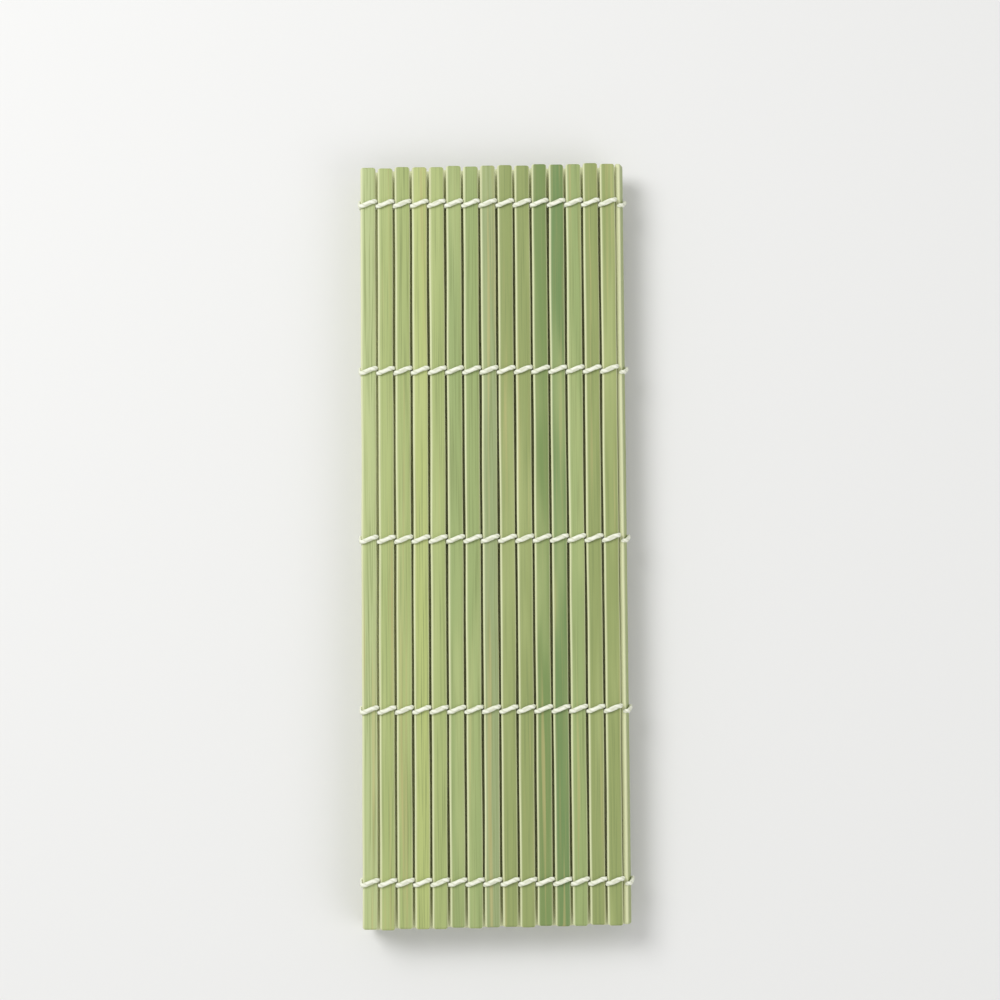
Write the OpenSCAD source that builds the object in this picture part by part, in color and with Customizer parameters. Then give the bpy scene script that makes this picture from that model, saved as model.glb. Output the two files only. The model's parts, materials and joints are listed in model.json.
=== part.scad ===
// Bamboo rolling mat, folded in three: flat slats twined together by five rows of cotton cord.
// X runs across the slats, Y along them, Z up. The origin is on the floor under the middle of the folded mat.

/* [Slats] */
// Length of a slat
slat_l = 265; // [120:1:320]
// Width of a slat
slat_w = 5.2; // [4.4:0.1:8]
// Thickness of a slat
slat_t = 2.0; // [1.6:0.1:2.6]
// Free gap between two slats
slat_gap = 0.8; // [0.7:0.05:1.2]
// Bevel along the long edges of a slat
edge_bevel = 0.5; // [0.45:0.05:0.6]
// Rounding of a slat's corners, seen from above
corner_r = 0.9; // [0.4:0.1:1.4]

/* [Cords] */
// Number of cord rows
rows = 5; // [2:1:7]
// Distance from one cord row to the next
row_pitch = 59; // [20:1:60]
// How far the rows sit towards the far end of the slats
row_shift = 1; // [-3:0.5:3]
// Width of a strand as it lies on a slat
cord_w = 1.7; // [1.2:0.1:2]
// Height of a strand above a slat's face
cord_h = 1.4; // [1:0.1:1.6]
// Height of a strand squashed inside a fold
fold_cord_h = 0.7; // [0.4:0.1:0.8]
// Thickness of a strand where it is pinched in a gap
pinch_t = 0.25; // [0.15:0.05:0.3]
// Thickness of the cord loop round the first slat's edge
loop_t = 0.9; // [0.6:0.1:1.4]
// Diameter of the closing knots
knot_d = 3.8; // [3:0.1:4.4]
// Length of the cord tails left at the knots
tail_l = 8; // [4:1:12]
// Thickness of a tail
tail_d = 1.4; // [1:0.1:1.8]

/* [Fold] */
// Lean of the slat that stands in each fold, from the level
fold_lean = 75; // [72:1:82]
// How far a fold's hinge line lies inside the middle of the slats
fold_in = 0.4; // [0.35:0.05:0.5]

/* [Fit] */
// Clearance between a strand and the slat under it
lay_gap = 0.05; // [0.03:0.01:0.1]
// Clearance between the two strands of a row
lane_gap = 0.1; // [0.06:0.01:0.2]
// Clearance from a hinge line to the strands that meet there
hinge_gap = 0.2; // [0.18:0.01:0.25]
// Endwise creep of each slat against the one before it
creep = 0.08; // [0:0.01:0.1]
// Endwise scatter of the slats
scatter = 0.2; // [0:0.05:0.3]

/* [Hidden] */
// Slats by number: the top layer, the slat in the right fold, the middle layer, the slat in the
// left fold, and the bottom layer
top_last = 15;
right_turn = top_last + 1;
middle_first = right_turn + 1;
middle_last = middle_first + top_last - 1;
left_turn = middle_last + 1;
bottom_first = left_turn + 1;
bottom_last = 45;
pair_size = 2;

pitch = slat_w + slat_gap;
half = pitch / 2;
face = slat_t / 2;
lay = face + lay_gap;
crest = lay + cord_h;
lane = (cord_w + lane_gap) / 2;
rise = pitch * sin(fold_lean) + 2 * fold_in;
run = pitch * cos(fold_lean);
bottom_z = crest;
middle_z = bottom_z + rise;
top_z = middle_z + rise;

// A strand's shoulders: where it starts to climb out of a gap, and how far in it is at full height
climb_z = 0.6;
climb_run = 1.0;
// Straight run of a strand before it slants across its slat
lane_run = 0.7;
fold_lane_run = 1.9;
// A strand inside a fold stops this far from the hinge line
fold_stop = 1.2;

// How far a knot's tails part sideways, and how far they hang
tail_spread = 16;
tail_droop = 7;

loop_x = slat_w / 2 + lay_gap + loop_t;
// How far the folded mat reaches past the top layer's outer hinge lines
right_reach = run / 2 + max(
    (half - climb_run) * cos(fold_lean) + (crest + fold_in) * sin(fold_lean),
    (half + pinch_t / 2) * cos(fold_lean) + (climb_z + fold_in) * sin(fold_lean));
left_reach = max(loop_x - half, right_reach - 2 * run);
left_x = -(top_last * pitch + left_reach + right_reach) / 2 + left_reach;
right_x = left_x + top_last * pitch;
middle_right_x = right_x + run;
middle_left_x = middle_right_x - (middle_last - middle_first + 1) * pitch;
bottom_left_x = middle_left_x + run;

function two(i) = i < 10 ? str("0", i) : str(i);
top_slats = [for (i = [1:top_last]) i];
middle_slats = [for (i = [middle_first:middle_last]) i];
bottom_starts = [for (i = [bottom_first:pair_size:bottom_last]) i];
hinged = concat(top_slats, [right_turn, left_turn]);

function pair_name(i) = i == bottom_last ? str("slat_", two(i)) : str("slats_", two(i), "_", two(i + 1));

// Turn of a slat about Y from the level, and the middle of its hinge lines seen along Y
function turn(i) =
    i == right_turn || i == left_turn ? fold_lean
    : i >= middle_first && i <= middle_last ? 180
    : 0;
function mid_x(i) =
    i <= top_last ? left_x + (i - 0.5) * pitch
    : i == right_turn ? right_x + run / 2
    : i <= middle_last ? middle_right_x - (i - middle_first + 0.5) * pitch
    : i == left_turn ? middle_left_x + run / 2
    : bottom_left_x + (i - bottom_first + 0.5) * pitch;
function mid_z(i) =
    i <= top_last ? top_z
    : i == right_turn ? (top_z + middle_z) / 2
    : i <= middle_last ? middle_z
    : i == left_turn ? (middle_z + bottom_z) / 2
    : bottom_z;
// A fold's slat lies outside the line between its two hinges
function lift(i) = i == right_turn ? fold_in : i == left_turn ? -fold_in : 0;
// Height of the hinge line between slat i and slat i + 1, from the middle of both
function hinge_z(i) =
    i == top_last || i == right_turn ? -fold_in
    : i == middle_last || i == left_turn ? fold_in
    : 0;
function slip(i) = creep * (mid_x(i) / pitch) + scatter * sin(137 * i);

// Puts a slat or its cords where slat i lies
module at_slat(i) {
    translate([mid_x(i), 0, mid_z(i)])
        rotate([0, turn(i), 0])
            translate([0, 0, lift(i)])
                children();
}

// Plain bamboo slat: bevelled long edges and rounded corners
module slat_blank() {
    w = slat_w / 2;
    b = edge_bevel;
    intersection() {
        rotate([90, 0, 0])
            linear_extrude(height = slat_l, center = true)
                polygon([[-w, b - face], [b - w, -face], [w - b, -face], [w, b - face],
                         [w, face - b], [w - b, face], [b - w, face], [-w, face - b]]);
        linear_extrude(height = 2 * slat_t, center = true)
            polygon(corner_points());
    }
}

// Outline of a slat from above, each corner an arc of straight steps
function corner_points() = [
    for (c = [[1, 1, 0], [-1, 1, 90], [-1, -1, 180], [1, -1, 270]])
        for (a = [0:30:90])
            [c[0] * (slat_w / 2 - corner_r) + corner_r * cos(c[2] + a),
             c[1] * (slat_l / 2 - corner_r) + corner_r * sin(c[2] + a)]
];

module slat(i) {
    color("yellowgreen")
        at_slat(i)
            translate([0, slip(i), 0])
                slat_blank();
}

// True where a strand on side s (1 front, -1 back) lies inside the fold at hinge line i
function inside_fold(i, s) = s * hinge_z(i) > 0;
function strand_top(i, s) =
    lay + (inside_fold(i - 1, s) || inside_fold(i, s) ? fold_cord_h : cord_h);

// One end of a strand's side outline, listed from its foot up to the crest and measured from slat i's
// middle with the end at +X: k is the hinge line there, and loose marks the mat's own edge
function end_outline(k, s, top, loose) =
    loose ? [[loop_x, 0], [loop_x, top]]
    : inside_fold(k, s) ? [[half - fold_stop, lay], [half - fold_stop, top]]
    : [[half + pinch_t / 2, foot(k, s)], [half + pinch_t / 2, climb_z], [half - climb_run, top]];
function foot(k, s) = s * hinge_z(k) + (joined(k) ? -hinge_gap : hinge_gap);
// Inside a panel the strands run on through the gaps
function joined(k) = (k >= middle_first && k < middle_last) || (k >= bottom_first && k < bottom_last);
// The same end from the crest's underside back to the foot
function end_inline(k, s, loose) =
    let (bend = lay - (half - pinch_t / 2 - (slat_w / 2 - edge_bevel)))
    loose ? [[slat_w / 2 - edge_bevel, lay], [loop_x - loop_t, lay - edge_bevel], [loop_x - loop_t, 0]]
    : inside_fold(k, s) ? []
    : [[slat_w / 2 - edge_bevel, lay], [half - pinch_t / 2, bend], [half - pinch_t / 2, foot(k, s)]];
function flip_x(points) = [for (p = points) [-p[0], p[1]]];
function reversed(points) = [for (n = [len(points) - 1:-1:0]) points[n]];

// Side outline of the strand over side s of slat i
function pass_points(i, s) =
    let (top = strand_top(i, s))
    concat(
        flip_x(end_outline(i - 1, s, top, i == 1)),
        reversed(end_outline(i, s, top, i == bottom_last)),
        reversed(end_inline(i, s, i == bottom_last)),
        flip_x(end_inline(i - 1, s, i == 1)));

// The same strand from above: it changes lanes as it crosses the slat
function lane_points(i, s) =
    let (a = inside_fold(i - 1, s) ? fold_lane_run : lane_run,
         b = inside_fold(i, s) ? fold_lane_run : lane_run,
         w = cord_w / 2,
         x0 = i == 1 ? -loop_x : -half - pinch_t / 2,
         x1 = i == bottom_last ? loop_x : half + pinch_t / 2,
         y = s * lane)
    [[x0, -y - w], [a - half, -y - w], [half - b, y - w], [x1, y - w],
     [x1, y + w], [half - b, y + w], [a - half, -y + w], [x0, -y + w]];

// One strand over slats first to last, starting on side s and changing side at every gap
module strand(first, last, s) {
    sides = [for (i = [first:last]) (i - first) % 2 == 0 ? s : -s];
    step = last == first ? 0 : pitch;
    intersection() {
        linear_extrude(height = 3 * crest, center = true)
            for (i = [first:last])
                translate([(i - first) * step, 0])
                    polygon(lane_points(i, sides[i - first]));
        rotate([90, 0, 0])
            linear_extrude(height = 4 * cord_w, center = true)
                for (i = [first:last])
                    translate([(i - first) * step, 0])
                        scale_z(sides[i - first])
                            polygon(pass_points(i, sides[i - first]));
    }
}

// Turns an outline over for the back of the mat
module scale_z(s) {
    if (s > 0)
        children();
    else
        mirror([0, 1])
            children();
}

// The cord's turn round the first slat's edge
module edge_loop() {
    translate([-loop_x, -lane - cord_w / 2, -crest / 2])
        cube([loop_t, 2 * lane + cord_w, crest]);
}

// Every row of a slat or panel: the two strands twined round it
module cord_rows(first, last) {
    color("ivory")
        at_slat(first)
            for (r = [0:rows - 1])
                translate([0, (r - (rows - 1) / 2) * row_pitch + row_shift, 0])
                    if (first == 1)
                        union() {
                            strand(first, last, 1);
                            strand(first, last, -1);
                            edge_loop();
                        }
                    else {
                        strand(first, last, 1);
                        strand(first, last, -1);
                    }
}

// Closing knots at the last slat's edge, each with its two cut tails; plain eight-sided forms
module cord_knots() {
    r = knot_d / 2;
    color("ivory")
        at_slat(bottom_last)
            for (k = [0:rows - 1])
                translate([loop_x + lay_gap + r, (k - (rows - 1) / 2) * row_pitch + row_shift, 0])
                    union() {
                        rotate([90, 22.5, 0])
                            cylinder(d = knot_d, h = knot_d, center = true, $fn = 8);
                        for (side = [-1, 1])
                            rotate([0, 0, side * tail_spread])
                                rotate([0, 90 + tail_droop, 0])
                                    cylinder(d = tail_d, h = r + tail_l, $fn = 8);
                    }
}

for (i = hinged)
    slat(i);
for (i = middle_slats)
    slat(i);
for (i = bottom_starts)
    for (k = [i:min(i + pair_size - 1, bottom_last)])
            slat(k);
for (i = hinged)
    cord_rows(i, i);
cord_rows(middle_first, middle_last);  // cords_middle
cord_rows(bottom_first, bottom_last);  // cords_bottom
cord_knots();
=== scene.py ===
import json
import math

import bmesh
import bpy
import numpy as np
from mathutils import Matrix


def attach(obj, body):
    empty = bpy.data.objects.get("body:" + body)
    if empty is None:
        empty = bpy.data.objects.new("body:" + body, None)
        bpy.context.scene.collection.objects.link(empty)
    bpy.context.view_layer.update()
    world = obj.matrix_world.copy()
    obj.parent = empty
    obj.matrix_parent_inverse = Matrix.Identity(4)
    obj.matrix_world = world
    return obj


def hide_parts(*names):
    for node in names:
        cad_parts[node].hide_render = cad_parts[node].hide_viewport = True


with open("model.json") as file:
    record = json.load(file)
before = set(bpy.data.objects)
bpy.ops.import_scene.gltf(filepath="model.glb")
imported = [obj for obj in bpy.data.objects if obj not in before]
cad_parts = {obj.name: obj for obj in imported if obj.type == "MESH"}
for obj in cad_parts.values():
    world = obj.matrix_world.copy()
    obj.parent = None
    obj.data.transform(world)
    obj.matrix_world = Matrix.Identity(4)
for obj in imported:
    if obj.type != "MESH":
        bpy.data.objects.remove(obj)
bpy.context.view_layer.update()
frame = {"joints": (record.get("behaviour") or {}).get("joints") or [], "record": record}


# The camera hangs about a metre over the mat and leans a little towards its near edge, so that the
# slats run up the picture and the near ends look slightly larger.
look_at = np.array([0.0012, 0.0143, 0.018])
camera_distance = 1.0
camera_lean = math.radians(5.6)
camera_roll = math.radians(0.44)
camera_lens = 103.9
camera_sensor = 36

camera_data = bpy.data.cameras.new("camera")
camera_data.lens = camera_lens
camera_data.sensor_width = camera_sensor
camera = bpy.data.objects.new("camera", camera_data)
bpy.context.scene.collection.objects.link(camera)
camera.location = look_at + camera_distance * np.array([0, -math.sin(camera_lean), math.cos(camera_lean)])
camera.rotation_euler = (camera_lean, 0, -camera_roll)
bpy.context.scene.camera = camera
bpy.context.scene.view_settings.view_transform = "Standard"


# The slats are split from green bamboo, planed on both faces and bevelled along their long edges.
# The smooth green skin faces up on the top layer; the pale edges and back show where it was cut away, and
# the left edges are drawn paler than the right ones as painted highlight and painted shade.
slat_length = 0.265
slat_width = 0.0052
slat_thickness = 0.0020
slat_gap = 0.0008
corner_radius = 0.0009
pitch = slat_width + slat_gap
half_pitch = pitch / 2
half_width = slat_width / 2
half_thickness = slat_thickness / 2
fold_in = 0.0004

# Slats by number: the top layer, the one in the right fold, the middle layer, the one in the left
# fold, and the bottom layer, whose slats are kept in pairs.
top_last = 15
right_turn = 16
left_turn = 32
last_slat = 45
pair_size = 2

skin_tones = {
    "yellow": (0.41, 0.475, 0.16), "olive": (0.265, 0.32, 0.105), "deep": (0.165, 0.245, 0.07),
    "cool": (0.14, 0.23, 0.07), "grey": (0.29, 0.355, 0.16), "leaf": (0.29, 0.37, 0.135),
    "light": (0.35, 0.42, 0.15), "pale": (0.42, 0.49, 0.22)}
tone_of_slat = ["pale", "light", "light", "yellow", "light", "leaf", "leaf", "grey", "olive", "olive",
                "deep", "cool", "leaf", "olive", "olive", "light"]
cut_tone = (0.66, 0.69, 0.42)
cut_fibre_tone = (0.50, 0.50, 0.26)
fibre_tone = (0.20, 0.25, 0.08)
sunny_tone = (0.47, 0.53, 0.22)
tan_tone = (0.48, 0.42, 0.17)
skin_roughness = 0.42
cut_roughness = 0.62
# Grain of the fibres, of the tan streaks and of the broad clouds: marks to a metre across and along
fibre_grain = (2600, 26)
streak_grain = (700, 9)
cloud_grain = (160, 12)
grain_depth = 0.00012


class Socket:
    """A node socket that turns Python arithmetic into Math nodes of its own tree."""

    def __init__(self, tree, socket):
        self.tree = tree
        self.socket = socket

    def math(self, operation, *others):
        node = self.tree.nodes.new("ShaderNodeMath")
        node.operation = operation
        for slot, value in zip(node.inputs, others):
            if isinstance(value, Socket):
                self.tree.links.new(value.socket, slot)
            else:
                slot.default_value = value
        return Socket(self.tree, node.outputs[0])

    def __add__(self, other):
        return self.math("ADD", self, other)

    def __radd__(self, other):
        return self.math("ADD", other, self)

    def __sub__(self, other):
        return self.math("SUBTRACT", self, other)

    def __rsub__(self, other):
        return self.math("SUBTRACT", other, self)

    def __mul__(self, other):
        return self.math("MULTIPLY", self, other)

    def __rmul__(self, other):
        return self.math("MULTIPLY", other, self)


class Finish:
    """A material with one Principled shader, and the nodes that feed it."""

    def __init__(self, name):
        self.material = bpy.data.materials.new(name)
        self.material.use_nodes = True
        self.tree = self.material.node_tree
        self.shader = self.tree.nodes["Principled BSDF"]

    def node(self, kind, settings=None, output=0, **sockets):
        """Any node: its settings first, then its sockets by name, or by number as s0, s1 and so on."""
        made = self.tree.nodes.new(kind)
        for name, value in (settings or {}).items():
            setattr(made, name, value)
        for name, value in sockets.items():
            key = int(name[1:]) if name[1:].isdigit() else name
            self.put(made.inputs[key], value)
        return Socket(self.tree, made.outputs[output])

    def put(self, slot, value):
        """Links a socket, or sets a number, a vector or a colour."""
        if isinstance(value, Socket):
            self.tree.links.new(value.socket, slot)
        elif slot.type == "RGBA":
            slot.default_value = (*value, 1)
        else:
            slot.default_value = value

    def surface(self, name, value):
        self.put(self.shader.inputs[name], value)

    def place(self):
        """Object coordinates."""
        return self.node("ShaderNodeTexCoord", output=3)

    def stretched(self, place, across, along):
        """Coordinates scaled by one number across the slats and by another along them."""
        return self.node("ShaderNodeMapping", Vector=place, Scale=(across, along, across))

    def noise(self, place, scale, detail):
        return self.node("ShaderNodeTexNoise", Vector=place, Scale=scale, Detail=detail)

    def step(self, value, low, high):
        """Smooth step of a value from 0 at low to 1 at high."""
        return self.node("ShaderNodeMapRange", {"interpolation_type": "SMOOTHSTEP"},
                         Value=value, s1=low, s2=high)

    def mix(self, factor, first, second):
        """The first colour at factor 0 and the second at factor 1."""
        return self.node("ShaderNodeMix", {"data_type": "RGBA"}, output=2, s0=factor, s6=first, s7=second)

    def bump(self, strength, distance, height):
        return self.node("ShaderNodeBump", Strength=strength, Distance=distance, Height=height)


def bamboo():
    """Green skin colour from the piece's own tone, with fibres stretched along Y, and pale cut sides."""
    finish = Finish("green_bamboo_skin")
    place = finish.place()
    fibre = finish.noise(finish.stretched(place, *fibre_grain), 1.0, 4)
    streak = finish.noise(finish.stretched(place, *streak_grain), 1.0, 3)
    cloud = finish.noise(finish.stretched(place, *cloud_grain), 1.0, 2)
    skin = finish.node("ShaderNodeAttribute", {"attribute_name": "skin"}, output=2)
    tone = finish.node("ShaderNodeAttribute", {"attribute_name": "tone"})
    darker = finish.mix(0.8 * finish.step(fibre, 0.46, 0.70), tone, fibre_tone)
    lively = finish.mix(0.45 * finish.step(cloud, 0.45, 0.75), darker, sunny_tone)
    tanned = finish.mix(0.55 * finish.step(streak, 0.56, 0.72), lively, tan_tone)
    cut = finish.mix(0.5 * finish.step(fibre, 0.4, 0.8), cut_tone, cut_fibre_tone)
    finish.surface("Base Color", finish.mix(skin, cut, tanned))
    smoother = (cut_roughness - skin_roughness) * skin
    finish.surface("Roughness", cut_roughness - smoother + 0.16 * (fibre - 0.5))
    finish.surface("Normal", finish.bump(0.35, grain_depth, fibre + 0.5 * streak))
    return finish.material


bamboo_finish = bamboo()

joint_of = {joint["name"]: joint for joint in frame["joints"]}
bodies = frame["record"]["behaviour"]["bodies"]
body_of_node = {node: body for body, nodes in bodies.items() for node in nodes}
first_curl = joint_of["curl"]["pos_m"]
bottom_left = joint_of["unfold"]["pos_m"]
middle_left = joint_of["unfold_middle"]["pos_m"]
middle_right = joint_of["unfold_right"]["pos_m"]
top_right = joint_of["unfold_top"]["pos_m"]
fold_lean = math.radians(joint_of["unfold"]["range_deg"][1])
top_left_x = first_curl[0] - (top_last - 1) * pitch
top_z = first_curl[2]
middle_z = middle_left[2] + fold_in
bottom_z = bottom_left[2] - fold_in


def fold_place(upper, lower, lift):
    """Middle of two hinge lines, moved along the slat's own normal by lift, and the fold's lean."""
    x = (upper[0] + lower[0]) / 2 + lift * math.sin(fold_lean)
    z = (upper[2] + lower[2]) / 2 + lift * math.cos(fold_lean)
    return (x, z), fold_lean


def slat_place(number):
    """Middle (x, z) of a slat and its turn about Y, the slats counted on from the top layer's left."""
    if number <= top_last:
        return (top_left_x + (number - 0.5) * pitch, top_z), 0.0
    if number == right_turn:
        return fold_place(top_right, middle_right, fold_in)
    if number < left_turn:
        return (middle_right[0] - (number - right_turn - 0.5) * pitch, middle_z), math.pi
    if number == left_turn:
        return fold_place(middle_left, bottom_left, -fold_in)
    return (bottom_left[0] + (number - left_turn - 0.5) * pitch, bottom_z), 0.0


def placed(px, py, pz, number):
    """Points turned about Y as their slat is, x to (cos, -sin) and z to (sin, cos), then moved there."""
    middle, turn = slat_place(number)
    c, s = math.cos(turn), math.sin(turn)
    return np.stack([middle[0] + px * c + pz * s, py, middle[1] - px * s + pz * c], -1).reshape(-1, 3)


def grid_faces(rows, columns, base):
    """Quads of a grid of points whose columns close on themselves, and a face across each end."""
    r, c = np.meshgrid(np.arange(rows - 1), np.arange(columns), indexing="ij")
    n = (c + 1) % columns
    quads = np.stack([r * columns + c, r * columns + n, (r + 1) * columns + n, (r + 1) * columns + c], -1)
    first_end = np.arange(columns)[::-1]
    last_end = (rows - 1) * columns + np.arange(columns)
    return (quads.reshape(-1, 4) + base).tolist() + [(first_end + base).tolist(), (last_end + base).tolist()]


def turn_faces_out(mesh):
    """Every part is closed, so its faces can all be turned outwards."""
    work = bmesh.new()
    work.from_mesh(mesh)
    bmesh.ops.recalc_face_normals(work, faces=work.faces)
    work.to_mesh(mesh)
    work.free()


def make_piece(name, parts, material, attributes, node):
    """One smooth mesh from parts, each a grid of points; it rides and stands in where the node does."""
    faces = []
    base = 0
    for part in parts:
        faces += grid_faces(*part["grid"], base)
        base += len(part["points"])
    mesh = bpy.data.meshes.new(name)
    mesh.from_pydata(np.concatenate([part["points"] for part in parts]).tolist(), [], faces)
    for attribute, (kind, field) in attributes.items():
        layer = mesh.attributes.new(attribute, kind, "POINT")
        layer.data.foreach_set(field, np.concatenate([part[attribute] for part in parts]).ravel())
    mesh.polygons.foreach_set("use_smooth", np.ones(len(mesh.polygons), bool))
    mesh.materials.append(material)
    turn_faces_out(mesh)
    piece = bpy.data.objects.new(name, mesh)
    bpy.context.scene.collection.objects.link(piece)
    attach(piece, body_of_node[node])
    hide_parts(node)


def smooth(t):
    """Smooth step from 0 to 1: three t squared less two t cubed."""
    t = np.clip(t, 0, 1)
    return t * t * (3 - 2 * t)


def signed_power(value, power):
    """The size of a value raised to a power, with its sign kept."""
    return np.sign(value) * np.abs(value) ** power


profile_points = 28
profile_phase = 0.11
profile_power = 5.2


def slat_profile():
    """Rounded oblong, listed anticlockwise: a superellipse across the width and the thickness."""
    angle = np.linspace(0, 2 * np.pi, profile_points, endpoint=False) + profile_phase
    x = signed_power(np.cos(angle), 2 / profile_power) * half_width
    z = signed_power(np.sin(angle), 2 / profile_power) * half_thickness
    return x, z


# Creep of each slat past the one before it, and scatter of their ends
slat_creep = 0.00008
slat_scatter = 0.0002
scatter_degrees = 137


def slip_of(number):
    """Endwise place of a slat: a slow creep across the mat and a scatter, the sine of its number."""
    middle_x = slat_place(number)[0][0]
    return slat_creep * middle_x / pitch + slat_scatter * math.sin(math.radians(scatter_degrees * number))


slat_seed = 500
phase_range = 6
straight_stations = 44
corner_stations = 7
# Size and number of turns of a slat's sideways bends, and of the changes in its width
bow = (0.00004, 7)
ripple = (0.00003, 17)
swell = (0.012, 11)
# Share of the thickness lost at a slat's very end
end_thinning = 0.6
# The skin starts this far in from the left and right edges, and takes this long to reach full colour. The
# pale band is wider on the left edge than the cut bevel as painted highlight from the upper left; on the
# right edge the darker skin runs almost to the edge as painted shade.
left_bevel_and_painted_highlight, left_fade = 0.00035, 0.0004
right_bevel_and_painted_shade, right_fade = 0.00005, 0.0002
skin_height, skin_fade = 0.55, 0.4


def slat_part(number):
    """Profile carried along Y in soft sine bends; at the ends it draws in on a quarter circle."""
    rng = np.random.default_rng(slat_seed + number)
    x, z = slat_profile()
    corner = corner_radius / (slat_length / 2)
    tip = 1 - corner * (1 - np.sin(np.linspace(0, np.pi / 2, corner_stations)))
    straight = np.linspace(-1, 1, straight_stations)[1:-1] * (1 - corner)
    along = np.concatenate([-tip[::-1], straight, tip])
    into_corner = ((np.abs(along) - (1 - corner)) / corner).clip(0, 1)
    inset = corner_radius * (1 - np.sqrt(np.clip(1 - into_corner ** 2, 0, 1)))

    def sine(size, turns):
        return size * np.sin(turns * along + rng.uniform(0, phase_range))

    bend = sine(*bow) + sine(*ripple)
    width = 1 + sine(*swell)
    px = x[None, :] * (width * (1 - inset / half_width))[:, None] + bend[:, None]
    pz = z[None, :] * (1 - end_thinning * inset / corner_radius)[:, None]
    py = np.repeat((along * slat_length / 2)[:, None], len(x), 1) + slip_of(number)

    # Pale cut colour is wider on the left edge than on the right: partly real bevel, partly painted
    # highlight on the left and painted shade on the right.
    left_edge = smooth((x + half_width - left_bevel_and_painted_highlight) / left_fade)
    right_edge = smooth((half_width - x - right_bevel_and_painted_shade) / right_fade)
    face = smooth((z / half_thickness - skin_height) / skin_fade)
    end = smooth((1 - inset / corner_radius) / skin_fade)
    skin = ((face * left_edge * right_edge)[None, :] * end[:, None]).ravel()
    shade = skin_tones[tone_of_slat[(number - 1) % len(tone_of_slat)]]
    return {"points": placed(px, py, pz, number), "grid": (len(along), len(x)),
            "skin": skin, "tone": np.tile([*shade, 1.0], (len(skin), 1))}


slat_attributes = {"skin": ("FLOAT", "value"), "tone": ("FLOAT_COLOR", "color")}

for number in range(1, left_turn + 1):
    make_piece(f"bamboo_slat_{number:02d}", [slat_part(number)], bamboo_finish, slat_attributes,
               f"slat_{number:02d}")

for number in range(left_turn + 1, last_slat + 1, pair_size):
    node = f"slat_{number}" if number == last_slat else f"slats_{number}_{number + 1}"
    pair = range(number, min(number + pair_size, last_slat + 1))
    make_piece("bamboo_" + node, [slat_part(k) for k in pair], bamboo_finish, slat_attributes,
               node)


# Each row of cord is one soft two-ply cotton cord doubled round the first slat. Its two strands change
# sides in every gap and cross over each other, so a short slanting stitch lies on every slat.
row_pitch = 0.059
row_shift = 0.001
row_count = 5
row_places = [(k - (row_count - 1) / 2) * row_pitch + row_shift for k in range(row_count)]
lay_gap = 0.00005
strand_half_width = 0.00085
strand_half_height = 0.0007
folded_half_height = 0.00035
strand_lane = 0.0009
strand_power = 4
strand_stations = 22
round_points = 14
edge_reach = 0.0005
fold_stop = 0.0012
# Width and height of a strand where it is pinched in a gap, as shares of the full ones
pinched_width = 0.62
pinched_height = 0.22
# Length of half a turn of the two plies, and how far each slat's stitch is turned past the last
ply_length = 0.0019
ply_start = 1.3
# How far the plies' ridges stand out of the strand
ply_relief = 0.14

cotton_tone = (0.88, 0.89, 0.77)
cotton_shade = (0.80, 0.82, 0.67)
# Painted shade for the grooves between the two plies.
groove_painted_shade = (0.60, 0.62, 0.46)
cotton_roughness = 0.84
# Marks to a metre of the single fibres and of the paler and darker stretches
fuzz_grain = 5200
patch_grain = 700
fuzz_depth = 0.00015


def cotton():
    """Cream cotton: colour and bump from fine fibres, with painted shade making the ply's grooves darker
    than its ridges.
    """
    finish = Finish("cotton_twine")
    place = finish.place()
    fine = finish.noise(place, fuzz_grain, 3)
    broad = finish.noise(place, patch_grain, 2)
    ridge = finish.node("ShaderNodeAttribute", {"attribute_name": "ridge"}, output=2)
    creamy = finish.mix(finish.step(broad, 0.35, 0.7), cotton_tone, cotton_shade)
    # The ply's grooves get the painted shade colour and its ridges the cream.
    finish.surface("Base Color", finish.mix(0.3 + 0.7 * finish.step(ridge, 0.0, 0.6), groove_painted_shade, creamy))
    finish.surface("Roughness", cotton_roughness + 0.1 * (fine - 0.5))
    finish.surface("Normal", finish.bump(0.5, fuzz_depth, fine + 0.3 * ridge))
    return finish.material


cotton_finish = cotton()


def unit(vectors):
    """Vectors at length one."""
    return vectors / np.linalg.norm(vectors, axis=1, keepdims=True)


def square_to(tangent, reference):
    """The part of a fixed direction that is square to each tangent, at length one."""
    return unit(np.array(reference) - tangent * (tangent @ np.array(reference))[:, None])


def tube(run, across, upward, wide, high, twist, number):
    """Ellipse carried along a run, wide along across and high along upward, swelling at its two plies."""
    angle = np.linspace(0, 2 * np.pi, round_points, endpoint=False)
    ply = 0.5 + 0.5 * np.cos(2 * (angle[None, :] - twist[:, None]))
    swelling = 1 - ply_relief + ply_relief * ply
    side = (np.cos(angle) * swelling * wide[:, None])[..., None] * across[:, None, :]
    lift = (np.sin(angle) * swelling * high[:, None])[..., None] * upward[:, None, :]
    points = (run[:, None, :] + side + lift).reshape(-1, 3)
    return {"points": placed(*points.T, number), "grid": (len(run), round_points), "ridge": ply.ravel()}


def inside_fold(hinge, side):
    """True where a strand on a side (1 front, -1 back) lies inside the fold at a slat's right hinge."""
    in_right = hinge in (right_turn - 1, right_turn) and side < 0
    in_left = hinge in (left_turn - 1, left_turn) and side > 0
    return in_right or in_left


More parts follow.
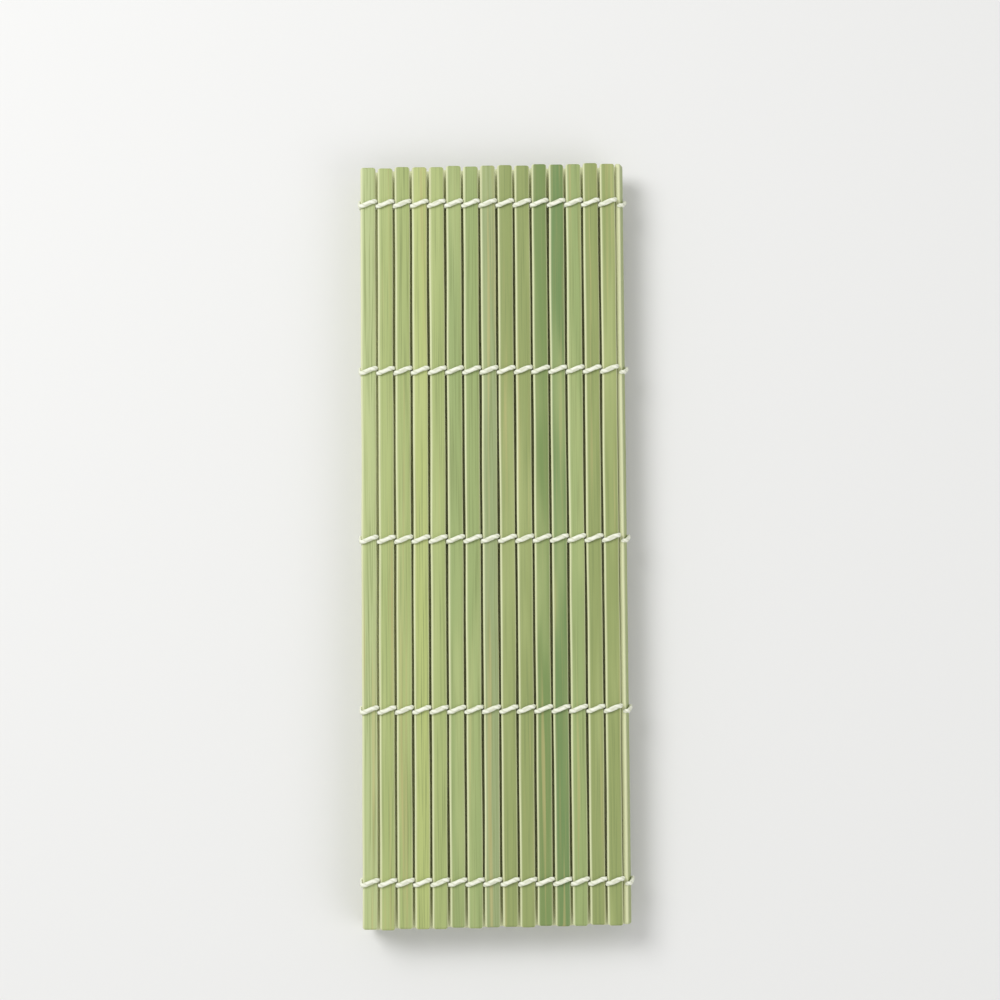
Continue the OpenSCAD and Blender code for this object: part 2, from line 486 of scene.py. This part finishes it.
def stitch(number, side, row_y):
    """One strand over a slat: half a superellipse seen from the end, a smooth slant seen from above."""
    first, last = -half_pitch, half_pitch
    if number == 1:
        first = -half_width - edge_reach
    if number == last_slat:
        last = half_width + edge_reach
    if inside_fold(number - 1, side):
        first = -half_pitch + fold_stop
    if inside_fold(number, side):
        last = half_pitch - fold_stop
    folded = inside_fold(number - 1, side) or inside_fold(number, side)

    phi = np.linspace(-np.pi / 2, np.pi / 2, strand_stations)
    arch = np.abs(np.cos(phi)) ** (2 / strand_power)
    px = (first + last) / 2 + (last - first) / 2 * signed_power(np.sin(phi), 2 / strand_power)
    py = row_y + side * strand_lane * (2 * smooth((px - first) / (last - first)) - 1)
    half_height = folded_half_height if folded else strand_half_height
    crest = half_thickness + lay_gap + half_height
    pz = side * (np.full_like(arch, crest) if folded else crest * arch)
    run = np.stack([px, py, pz], -1)

    tangent = unit(np.gradient(run, axis=0))
    across = square_to(tangent, (0.0, 1.0, 0.0))
    wide = strand_half_width * (pinched_width + (1 - pinched_width) * arch)
    high = half_height * (pinched_height + (1 - pinched_height) * arch)
    length = np.concatenate([[0], np.cumsum(np.linalg.norm(np.diff(run, axis=0), axis=1))])
    twist = length / ply_length * np.pi + ply_start * number
    return tube(run, across, np.cross(tangent, across), wide, high, twist, number)


bight_stations = 14
bight_bulge = 0.00045
bight_half_height = 0.00045
bight_twist = 4


def edge_bight(row_y):
    """The cord's turn round the first slat: half an ellipse from one strand's lane to the other's."""
    angle = np.linspace(-np.pi / 2, np.pi / 2, bight_stations)
    run = np.stack([-half_width - lay_gap - bight_bulge * np.cos(angle),
                    row_y - strand_lane * np.sin(angle),
                    half_thickness * np.sin(angle)], -1)
    tangent = unit(np.gradient(run, axis=0))
    upward = square_to(tangent, (1.0, 0.0, 0.0))
    wide = np.full(bight_stations, strand_half_width)
    high = np.full(bight_stations, bight_half_height)
    twist = np.linspace(0, bight_twist, bight_stations)
    return tube(run, np.cross(upward, tangent), upward, wide, high, twist, 1)


cord_attributes = {"ridge": ("FLOAT", "value")}


def add_cords(name, node, numbers):
    """Every row over the slats given: two strands to a slat, and the turn round the first slat."""
    parts = [stitch(number, side, row_y) for row_y in row_places for number in numbers for side in (1, -1)]
    if 1 in numbers:
        parts += [edge_bight(row_y) for row_y in row_places]
    make_piece(name, parts, cotton_finish, cord_attributes, node)


for number in [*range(1, right_turn + 1), left_turn]:
    add_cords(f"cotton_rows_{number:02d}", f"cord_{number:02d}", [number])
add_cords("cotton_rows_middle", "cords_middle", range(right_turn + 1, left_turn))
add_cords("cotton_rows_bottom", "cords_bottom", range(left_turn + 1, last_slat + 1))


# The two strands of every row end in a small overhand knot at the last slat, cut off with short tails.
knot_radius = 0.0019
loop_thickness = 0.0009
knot_x = half_width + lay_gap + loop_thickness + lay_gap + knot_radius
knot_size = 0.00036
knot_rise = 0.0005
knot_cord_radius = 0.00068
knot_stations = 64
tail_length = 0.0075
tail_start = knot_radius * 0.5
tail_cord_radius = 0.00062
tail_stations = 18
tail_spread = math.radians(16)
tail_drop = 0.00095
tail_bend = (0.0003, 5)
knot_twist = 9


def knot_run(row_y):
    """Trefoil: x is sin t + 2 sin 2t, y is cos t - 2 cos 2t and z is -sin 3t, each times its size."""
    t = np.linspace(0, 2 * np.pi, knot_stations)
    return np.stack([knot_x + knot_size * (np.sin(t) + 2 * np.sin(2 * t)),
                     row_y + knot_size * (np.cos(t) - 2 * np.cos(2 * t)),
                     -knot_rise * np.sin(3 * t)], -1)


def tail_run(row_y, side):
    """Line out of the knot that parts to one side with a small sine bend and droops evenly."""
    s = np.linspace(0, 1, tail_stations)
    reach = tail_start + tail_length * s
    bend = tail_bend[0] * np.sin(tail_bend[1] * s)
    return np.stack([knot_x + reach * math.cos(tail_spread),
                     row_y + side * (reach * math.sin(tail_spread) + bend),
                     -tail_drop * s], -1)


def round_cord(run, radius):
    """Tube of one radius along a run at the last slat."""
    tangent = unit(np.gradient(run, axis=0))
    upward = square_to(tangent, (0.0, 0.0, 1.0))
    size = np.full(len(run), radius)
    return tube(run, np.cross(upward, tangent), upward, size, size,
                np.linspace(0, knot_twist, len(run)), last_slat)


knot_parts = []
for row_y in row_places:
    knot_parts.append(round_cord(knot_run(row_y), knot_cord_radius))
    knot_parts += [round_cord(tail_run(row_y, side), tail_cord_radius) for side in (-1, 1)]
make_piece("cotton_knots", knot_parts, cotton_finish, cord_attributes, "cord_knots")


# Plain pale table under the mat, large enough to fill the view from above and from most sides.
floor_half = 3.0
floor_tone = (0.77, 0.77, 0.76)
floor_roughness = 0.85

floor_finish = Finish("pale_floor")
floor_finish.surface("Base Color", floor_tone)
floor_finish.surface("Roughness", floor_roughness)
floor_mesh = bpy.data.meshes.new("floor")
floor_mesh.from_pydata([(-floor_half, -floor_half, 0), (floor_half, -floor_half, 0),
                        (floor_half, floor_half, 0), (-floor_half, floor_half, 0)], [], [(0, 1, 2, 3)])
floor_mesh.materials.append(floor_finish.material)
floor = bpy.data.objects.new("floor", floor_mesh)
bpy.context.scene.collection.objects.link(floor)


# A broad soft lamp from the upper left, a weaker one opposite, and an even pale sky, which looks
# brighter to the camera and in reflections than the light that it gives.
sky_light = 0.55
sky_seen_extra = 0.3


def add_lamp(name, place, power, size):
    """Square area lamp that points at the mat."""
    lamp = bpy.data.lights.new(name, "AREA")
    lamp.energy = power
    lamp.size = size
    holder = bpy.data.objects.new(name, lamp)
    bpy.context.scene.collection.objects.link(holder)
    holder.location = place
    direction = look_at - np.array(place)
    level = math.hypot(direction[0], direction[1])
    holder.rotation_euler = (math.atan2(level, -direction[2]), 0, math.atan2(-direction[0], direction[1]))


add_lamp("key", (-0.75, 0.55, 1.15), 13, 0.7)
add_lamp("fill", (0.9, -0.6, 1.1), 5, 1.0)
world = bpy.data.worlds.new("sky")
world.use_nodes = True
sky = world.node_tree
sky_colour, sky_strength = sky.nodes["Background"].inputs[:2]
sky_colour.default_value = (1, 1, 1, 1)
ray = sky.nodes.new("ShaderNodeLightPath").outputs
seen = (Socket(sky, ray["Is Camera Ray"]) + Socket(sky, ray["Is Glossy Ray"])
        + Socket(sky, ray["Is Transmission Ray"]))
sky.links.new((sky_light + sky_seen_extra * seen).socket, sky_strength)
bpy.context.scene.world = world
